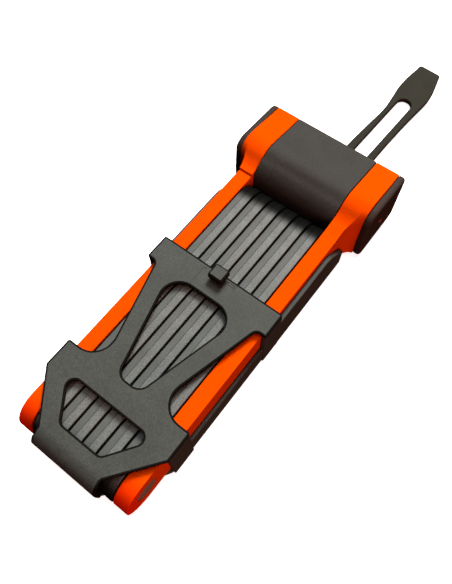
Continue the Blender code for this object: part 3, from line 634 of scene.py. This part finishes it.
def arm_outline(back):
    """The right-hand bar and its side block in one outline."""
    rise = [(62.0, 24.6), (68.0, 24.75), (73.6, 25.6), (76.4, 26.3), (79.2, 28.0)]
    front = through(rise + crown(), 6)
    lower = arc((BOTTOM_PIVOT, BAR_Z), BAR_RADIUS, 270, 90, 36)
    return front + top_end(back) + [(HEAD_LOW, back), (HEAD_LOW, BAR_BACK)] + lower


def scoop(side):
    """What is cut away beside the bar: it leaves a hollow that sweeps out to the block's side."""
    x0 = ORANGE_OUTER
    foot, height = 72.0, 8.9
    reach = BLOCK_OUTER - x0 + 0.5
    beyond = x0 + reach + 4
    below = -90
    sweep = [math.radians(90 * k / 14) for k in range(15)]
    hollow = [(x0 + reach * (1 - math.cos(a)), foot + height * math.sin(a)) for a in sweep]
    outline = [(x0, below)] + hollow + [(beyond, hollow[-1][1]), (beyond, below)]
    outline = [(side * x, y) for x, y in outline]
    rim = [(24.9, 0), (26.5, -0.2), (28.0, -0.6), (29.3, -1.2), (30.4, -2.1), (31.2, -3.2), (31.8, -4.6)]
    rim += [(32.6, -7.0), (45, -7.0)]
    return slab("scoop", "Z", [outline], [(-5, 0), *rim])


def right_arm(materials):
    """The orange right-hand bar and its side of the head, in one piece."""
    profile = edges(ORANGE_INNER, BLOCK_OUTER, 0.5)
    piece = slab("arm_cover_shell", "X", [arm_outline(BLOCK_BACK)], profile, materials["orange"])
    cut(piece, scoop(1))
    cut(piece, rod("X", (BOTTOM_PIVOT, BAR_Z), BORE_RADIUS, ORANGE_INNER - 1, ORANGE_OUTER + 1))
    show(finished(piece), "lock", "orange_plastic", "arm_cover")


def left_block(materials):
    """The orange left side of the head, with the keyway through it."""
    outline = block_outline(BLOCK_LOW.y, BLOCK_BACK)
    profile = edges(-BLOCK_OUTER, -ORANGE_INNER, 0.5)
    piece = slab("head_block_left_shell", "X", [outline], profile, materials["orange"])
    cut(piece, scoop(-1))
    cut(piece, rod("X", KEYWAY, KEYWAY_RADIUS, -BLOCK_OUTER - 2, -ORANGE_INNER + 1))
    show(finished(piece), "lock", "orange_plastic", "head_block_left")


def head_centre(materials):
    """The black middle of the head, rolled over at its lower front edge."""
    back = COVER_LOW.z - LIFT
    low = HEAD_LOW
    foot = [(low + 0.6, back), (low, back + 0.6)]
    roll = [(low, 21.5), (low + 0.45, 24.0), (low + 2.0, 26.6), (low + 4.6, 29.0)]
    outline = foot + through(roll + crown(), 6) + top_end(back)
    profile = edges(-HEAD_HALF, HEAD_HALF, 0.3)
    piece = slab("head_cover_shell", "X", [outline], profile, materials["head"])
    show(finished(piece), "lock", "head_plastic", "head_cover")


def cap_outline():
    """An end cap across X, a little bowed at the front."""
    low = CAP_LOW.y
    high = CAP_HIGH.y
    return rounded(
        [
            (low + 0.4, 0.0, 3.5),
            (low, 12.0, 20.0),
            (low + 0.5, 29.0, 5.0),
            (low + 6.0, 30.9, 6.0),
            (high, 29.0, 3.2),
            (high, 0.0, 3.0),
        ],
        8,
    )


def end_caps(materials):
    """Both end caps, with the index mark on the right and the shutter's track and keyway on the left."""
    inner = CAP_LOW.x
    outer = CAP_HIGH.x
    profile = edges(inner, outer, 0.15, 3, 1.5)
    right = slab("end_cap_right_shell", "X", [cap_outline()], profile, materials["cap"])
    low, high = node_box("index_mark")
    at = ((low.y + high.y) / 2, (low.z + high.z) / 2 - LIFT)
    cut(right, rod("X", at, 1.5, outer - 1.0, outer + 1))
    show(finished(right), "lock", "cap_plastic", "end_cap_right")
    dot = arc(at, 1.45, 0, 360, 32)[:-1]
    profile = edges(outer - 0.9, outer, 0.1, 5, 0.4)
    mark = slab("index_mark_shell", "X", [dot], profile, materials["red"])
    show(finished(mark), "lock", "index_red", "index_mark")

    profile = edges(-outer, -inner, 1.5, 3, 0.15)
    left = slab("end_cap_left_shell", "X", [cap_outline()], profile, materials["cap"])
    room, gap = 11.1, 0.3  # below the shutter, for it to slide into, and around it
    track_low = (-outer - 1, SHUTTER_LOW.y - room, SHUTTER_LOW.z - LIFT - gap)
    track_high = (-outer + 1.5, SHUTTER_HIGH.y + gap, SHUTTER_HIGH.z - LIFT + gap)
    cut(left, box(track_low, track_high))
    cut(left, rod("X", KEYWAY, KEYWAY_RADIUS, -outer - 1, -inner + 1))
    show(finished(left), "lock", "cap_plastic", "end_cap_left")


def bounded(low, high, radius):
    """A rectangle between two corners, all four rounded by one radius."""
    corners = [(low[0], low[1]), (low[0], high[1]), (high[0], high[1]), (high[0], low[1])]
    return rounded([(a, b, radius) for a, b in corners])


def dust_cover(materials):
    """The sliding shutter over the keyway, with three grip grooves."""
    low = SHUTTER_LOW
    high = SHUTTER_HIGH
    back = low.z - LIFT
    front = high.z - LIFT
    outline = bounded((low.y, back), (high.y, front), 0.8)
    profile = edges(low.x, high.x, 0.3, 3, 0.1)
    piece = slab("dust_cover_shell", "X", [outline], profile, materials["cap"])
    margin, width, depth = 2.5, 0.8, 0.3
    for number in range(3):
        y = low.y + 2.2 + 1.8 * number
        groove = bounded((y, back + margin), (y + width, front - margin), 0.35)
        cut(piece, slab("groove", "X", [groove], [(low.x - 1, 0), (low.x + depth, 0)]))
    show(finished(piece), "dust_cover", "cap_plastic", "dust_cover")


# The holder.


WRAP_RADIUS = 7.5
PANEL_THICK = 1.8
PLATE_FRONT = 1.6
RAIL_INNER = 28.55
UPPER_TAB_LOW = PANEL_TOP - 11.9
LOWER_TAB_HIGH = PANEL_TOP - 59.0
LOWER_TAB_LOW = PANEL_TOP - 71.7


def panel_outline():
    """The panel laid flat: upper tabs, waist, lower tabs, taper, and the strip that wraps round the foot."""
    half = [
        (PANEL_HALF, PANEL_TOP, 1.0),
        (PANEL_HALF, UPPER_TAB_LOW, 0.8),
        (26.0, UPPER_TAB_LOW, 2.6),
        (13.5, LOWER_TAB_HIGH, 9.0),
        (PANEL_HALF, LOWER_TAB_HIGH, 1.0),
        (PANEL_HALF, LOWER_TAB_LOW, 1.5),
        (15.8, PANEL_TOP - 91.0, 2.0),
        (16.0, HOLDER_LOW - 6.0, 6.0),
        (13.0, HOLDER_LOW - 24.0, 0),
    ]
    return rounded(mirrored(half), 10)


def windows():
    """The teardrop window and the trapezoid window below it."""
    top = PANEL_TOP
    teardrop = [(17.3, top - 12.2, 8.0), (5.3, top - 58.4, 4.8)]
    trapezoid = [(21.3, top - 69.2, 3.0), (9.9, top - 85.2, 3.0)]
    return [rounded(mirrored(teardrop), 14), rounded(mirrored(trapezoid), 10)]


def wrapped(builder):
    """Rolls the flat panel's lower stretch down and round the bars' ends."""
    start = HOLDER_LOW + WRAP_RADIUS
    quarter = WRAP_RADIUS * math.pi / 2
    steps = 10
    sliced(builder, "Y", [start - quarter * k / steps for k in range(steps + 1)])
    for vert in builder.verts:
        along = start - vert.co.y
        if along <= 0:
            continue
        depth = PANEL_FRONT - vert.co.z
        angle = min(along, quarter) / WRAP_RADIUS
        radius = WRAP_RADIUS - depth
        vert.co.y = start - radius * math.sin(angle)
        vert.co.z = PANEL_FRONT - WRAP_RADIUS + radius * math.cos(angle) - max(0, along - quarter)


def rail_pieces(side):
    """One side of the channel: a tall upper rail, a long low one, and two walls behind the tabs."""
    top = PANEL_TOP
    back = PLATE_BACK
    tall = rounded(
        [
            (top - 1.0, back, 0.5),
            (74.6, back, 0.8),
            (74.6, 9.5, 3.0),
            (61.0, 21.0, 9.0),
            (top - 1.0, 21.0, 0.5),
        ]
    )
    first, last, front = top - 70.0, top - 5.0, 11.9
    low = rounded([(first, back, 0.5), (last, back, 0.5), (last, front, 0.4), (first, front, 0.4)])
    made = [(30.5, tall, 0.55), (29.9, low, 0.4)]
    front = PANEL_FRONT - 0.06
    for first, last in ((top - 11.6, top - 0.12), (top - 71.2, top - 59.2)):
        wall = rounded([(first, back, 0.6), (last, back, 0.6), (last, front, 0.5), (first, front, 0.5)])
        made.append((PANEL_HALF - 0.03, wall, 0.45))
    pieces = []
    for outer, outline, radius in made:
        if side > 0:
            profile = edges(RAIL_INNER, outer, 0.2, 3, radius)
        else:
            profile = edges(-outer, -RAIL_INNER, radius, 3, 0.2)
        pieces.append(slab("rail", "X", [outline], profile))
    return pieces


def rear_plate():
    """The plate that screws to the bicycle, with two slotted holes."""
    half = RAIL_INNER + 0.9
    outline = rounded(
        mirrored(
            [
                (half, 73.2, 1.2),
                (half, LOWER_TAB_LOW, 2.0),
                (18.0, PANEL_TOP - 90.0, 3.0),
                (11.5, HOLDER_LOW, 3.0),
            ]
        )
    )
    slots = []
    radius, stretch = 2.7, 2
    for y in (-32.0, 32.0):
        upper = arc((0, y + stretch), radius, 0, 180, 14)
        slots.append(upper + arc((0, y - stretch), radius, 180, 360, 14))
    return slab("plate", "Z", [outline, *slots], edges(PLATE_BACK, PLATE_FRONT, 0.4))


def knob():
    """The hook for the strap: a chamfered block on a short stem."""
    half = 3.6
    corners = [(-half, 18.3), (half, 18.3), (half, KNOB_HIGH), (-half, KNOB_HIGH)]
    outline = rounded([(x, y, 1.1) for x, y in corners], 5)
    front = KNOB_FRONT
    under = [(front - 4.2, 1.7), (front - 2.7, 0.25), (front - 2.4, 0.0)]
    chamfer = [(front - 1.1, 0.0), (front - 0.9, 0.1), (front - 0.15, 0.85), (front, 1.1)]
    # Painted shade: the hook's underside, sides and chamfer take the dark edge finish, and a thin rim and
    # the top stay grey.
    return slab("knob", "Z", [outline], under + chamfer, bands=[1, 1, 1, 1, 1, 0])


def stem():
    """The hook's stem, from inside the panel to inside the block."""
    corners = [(-2.0, 20.4), (2.0, 20.4), (2.0, 24.4), (-2.0, 24.4)]
    outline = rounded([(x, y, 0.7) for x, y in corners])
    return slab("stem", "Z", [outline], [(PANEL_FRONT - 1.6, 0), (KNOB_FRONT - 1.9, 0)])


def moulded_lines():
    """Shallow witness lines beside the hook, as (low, high) corners of thin boxes."""
    front = PANEL_FRONT
    depth = 0.18
    width = 0.22
    lines = [  # left edge, lower edge, size across, size along
        (-8.3, 12.6, width, 9.4),
        (-8.3, 21.9, 1.5, width),
        (8.2, 19.7, width, 3.6),
        (4.3, 21.3, 3.4, width),
        (4.3, 22.4, 3.4, width),
        (4.3, 21.3, width, 1.1),
        (7.7, 21.3, width, 1.1),
    ]
    return [((x, y, front - depth), (x + across, y + along, front + 1)) for x, y, across, along in lines]


def holder(materials):
    """The holder in one mesh: panel, rails, rear plate, tongue and hook. The panel's edges carry painted
    shade.
    """
    # Painted shade: the rounded edges and a thin rim of the face take the dark edge finish.
    profile = edges(PANEL_FRONT - PANEL_THICK, PANEL_FRONT, 0.3) + [(PANEL_FRONT + 0.001, 0.8)]
    bands = [1] * (len(profile) - 1)
    finishes = (materials["holder"], materials["holder_edge_shade"])
    shell = slab("holder_shell", "Z", [panel_outline(), *windows()], profile, *finishes, bands=bands)
    for low, high in moulded_lines():
        cut(shell, box(low, high))
    reshape(shell, wrapped)
    left, right = STRAP_X - 9, STRAP_X + 9
    outline = rounded([(left, 71, 0), (right, 71, 0), (right, 87, 3.0), (left, 87, 3.0)])
    plate = rear_plate()
    tongue = slab("tongue", "Z", [outline], edges(PLATE_BACK, -0.1, 0.3))
    gathered(shell, [plate, tongue, stem(), knob()] + rail_pieces(-1) + rail_pieces(1))
    show(finished(shell), "holder", "holder_plastic", "holder_front", "holder_back")


# The strap.


def strap_outline():
    """The strap from the front: two arms that lean together, a neck, and a broad end with round corners."""
    left = [(-STRAP_HALF, 86), (-8.35, 110), (-8.0, 134.7), (-6.7, 152), (-5.5, 166)]
    left += [(-6.1, 176), (-7.0, 184.3), (-6.9, 193)]
    right = [(STRAP_HALF, 86), (8.3, 110), (8.0, 133.7), (8.5, 152), (9.3, 166)]
    right += [(10.1, 176), (10.8, 185.2), (10.1, 193.5)]
    tip = rounded([(-6.9, 193, 0), (-5.2, STRAP_END, 1.6), (7.3, STRAP_END - 0.6, 1.8), (10.1, 193.5, 0)])
    loop = through(left)[:-1] + tip + list(reversed(through(right)))[1:]
    return [(STRAP_X + x, y) for x, y in loop]


def strap_solid(name, low, high, material):
    """The strap between two heights, with its slot, and loops close enough to bend."""
    left, right = STRAP_X - STRAP_SLOT, STRAP_X + STRAP_SLOT
    foot = 121.0
    slot = arc((STRAP_X + 1.7, 175.4), STRAP_SLOT, 0, 180, 16) + [(left, 130.0), (left, foot)]
    slot += arc((STRAP_X, foot), STRAP_SLOT, 180, 360, 16)[1:-1] + [(right, foot), (right, 130.0)]
    piece = slab(name, "Z", [strap_outline(), slot], edges(STRAP_BACK, STRAP_FRONT, 0.8), material)

    def trim(builder):
        for place, side in ((low, -1), (high, 1)):
            everything = builder.verts[:] + builder.edges[:] + builder.faces[:]
            spot, normal = (0, place, 0), (0, side, 0)
            made = bmesh.ops.bisect_plane(
                builder, geom=everything, plane_co=spot, plane_no=normal, clear_outer=True
            )
            rim = [e for e in made["geom_cut"] if isinstance(e, bmesh.types.BMEdge)]
            if rim:
                bmesh.ops.holes_fill(builder, edges=rim)
        sliced(builder, "Y", [low + 1.0 * k for k in range(1, int(high - low))])

    return reshape(piece, trim)


def strap(materials):
    """Two lengths of one strap that meet halfway between its two bends, and its thin riveted root."""
    split = (STRAP_HINGE + STRAP_FOLD) / 2
    lower = strap_solid("strap_lower", 88.0, split, materials["rubber"])
    upper = strap_solid("strap_upper", split, STRAP_END + 1, materials["rubber"])
    for piece, first, second, bend in (
        (lower, "holder", "strap_middle", STRAP_HINGE),
        (upper, "strap_middle", "strap_tip", STRAP_FOLD),
    ):
        finished(piece)
        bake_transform(piece)
    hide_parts("strap_middle")
    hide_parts("strap_tip")
    left, right = STRAP_X - STRAP_HALF, STRAP_X + STRAP_HALF
    outline = rounded([(left, 76, 1.5), (right, 76, 1.5), (right, 88.2, 0), (left, 88.2, 0)])
    lap = slab("strap_lap", "Z", [outline], edges(0.2, STRAP_FRONT, 0.4), materials["rubber"])
    for number in (1, 2):
        low, high = node_box(f"strap_rivet_{number}")
        at = ((low.x + high.x) / 2, (low.y + high.y) / 2)
        cut(lap, rod("Z", at, 3.25, STRAP_FRONT - 1.0, 6))
    show(finished(lap), "holder", "strap_rubber", "strap_root")


# The bars' rivets, and the CAD nodes that stay.


def rivet(name, body, materials):
    """A rivet's two flush heads and shank, with rounded rims."""
    low, high = node_box(name)
    centre = ((low.y + high.y) / 2, (low.z + high.z) / 2 - LIFT)
    radius = (high.y - low.y) / 2
    outline = arc(centre, radius, 0, 360, 48)[:-1]
    under = low.x + RIVET_HEAD
    profile = [(low.x, 0.25), (low.x + 0.08, 0.06), (low.x + 0.25, 0)]
    profile += [(under, 0), (under, radius - RIVET_SHANK)]
    profile += [(low.x + high.x - along, depth) for along, depth in reversed(profile)]
    piece = slab(f"{name}_shell", "X", [outline], profile, materials["rivet"])
    show(finished(piece), body, "rivet_steel", name)


# The material for each slot in the record.
FINISHES = {
    "steel": "steel",
    "brass": "brass",
    "rivet_steel": "rivet",
    "cap_plastic": "cap",
    "holder_plastic": "holder",
    "head_plastic": "head",
    "strap_rubber": "rubber",
    "orange_plastic": "orange",
    "bar_grey": "smooth_bar",
    "index_red": "red",
}


def dress_nodes(materials):
    """Gives each CAD node the material of its slot."""
    for part in frame["record"]["subparts"]:
        node = frame["nodes"][part["node"]]
        material = materials[FINISHES[part["material_slot"]]]
        node.data.materials.clear()
        node.data.materials.append(material)


# Floor, light and camera.


def floor():
    """A white card under the lock, bright enough to stay white and kept from lighting it."""
    material, tree, shader, place = tree_of("floor_card", 0.8, specular=0.2)
    cloud = noise(tree, place, 0.004, 2.0)
    white = ramp(tree, cloud, [(0.3, (0.80,) * 3), (0.7, (0.83,) * 3)])
    tree.links.new(white, shader.inputs["Base Color"])
    shader.inputs["Emission Color"].default_value = (1.0, 1.0, 1.0, 1.0)
    shader.inputs["Emission Strength"].default_value = 0.8
    bpy.ops.mesh.primitive_circle_add(vertices=96, radius=6.0, fill_type="NGON", location=(0, 0, -0.0002))
    made = bpy.context.object
    made.name = "floor"
    made.data.materials.append(material)
    made.visible_diffuse = False
    made.visible_glossy = False


def area_light(name, direction, distance, size, power, colour):
    """A round soft light that shines on the lock from a direction."""
    data = bpy.data.lights.new(name, "AREA")
    data.shape = "DISK"
    data.size = size
    data.energy = power
    data.color = colour
    light = bpy.data.objects.new(name, data)
    bpy.context.scene.collection.objects.link(light)
    towards = Vector(direction).normalized()
    middle = (CAD_BOX[0] + CAD_BOX[1]) / 2
    light.location = middle + towards * distance
    light.rotation_mode = "QUATERNION"
    light.rotation_quaternion = (-towards).to_track_quat("-Z", "Y")
    light.visible_camera = False


def lights():
    """Three soft lights, and a white background that doesn't light the lock."""
    area_light("key", (-0.15, 0.62, 0.84), 1.6, 0.7, 56, (1.0, 1.0, 0.97))
    area_light("overhead", (-0.05, 0.1, 1.0), 1.8, 1.2, 17, (1.0, 1.0, 1.0))
    area_light("fill", (1.0, -0.5, 0.4), 1.8, 1.4, 24, (1.0, 0.42, 0.32))
    world = bpy.data.worlds.new("studio")
    bpy.context.scene.world = world
    world.use_nodes = True
    background = world.node_tree.nodes["Background"]
    background.inputs["Color"].default_value = (1.0, 1.0, 1.0, 1.0)
    background.inputs["Strength"].default_value = 1.0
    world.cycles_visibility.diffuse = False
    world.cycles_visibility.glossy = False
    bpy.context.scene.view_settings.view_transform = "Standard"


def camera():
    """The rest view, from above the lower right, with the lock running up to the right."""
    data = bpy.data.cameras.new("camera")
    data.lens = 36.17
    data.clip_start = 0.01
    data.clip_end = 50
    made = bpy.data.objects.new("camera", data)
    bpy.context.scene.collection.objects.link(made)
    right = Vector((0.79434, 0.60742, -0.00834))
    down = Vector((0.54442, -0.71791, -0.43384))
    forward = Vector((-0.26951, 0.34007, -0.90095))
    turned = Matrix((right, -down, -forward)).transposed()
    made.rotation_mode = "QUATERNION"
    made.rotation_quaternion = turned.to_quaternion()
    made.location = (0.070523, -0.062876, 0.243389 + LIFT * MM)
    bpy.context.scene.camera = made


def main():
    materials = make_materials()
    camera()
    lights()
    floor()
    dress_nodes(materials)
    grey_bars(materials)
    left_bar(materials)
    right_arm(materials)
    left_block(materials)
    head_centre(materials)
    end_caps(materials)
    dust_cover(materials)
    holder(materials)
    strap(materials)
    for body, names in frame["record"]["behaviour"]["bodies"].items():
        for name in names:
            if name.startswith(("lower_rivet", "upper_rivet")):
                rivet(name, body, materials)


main()
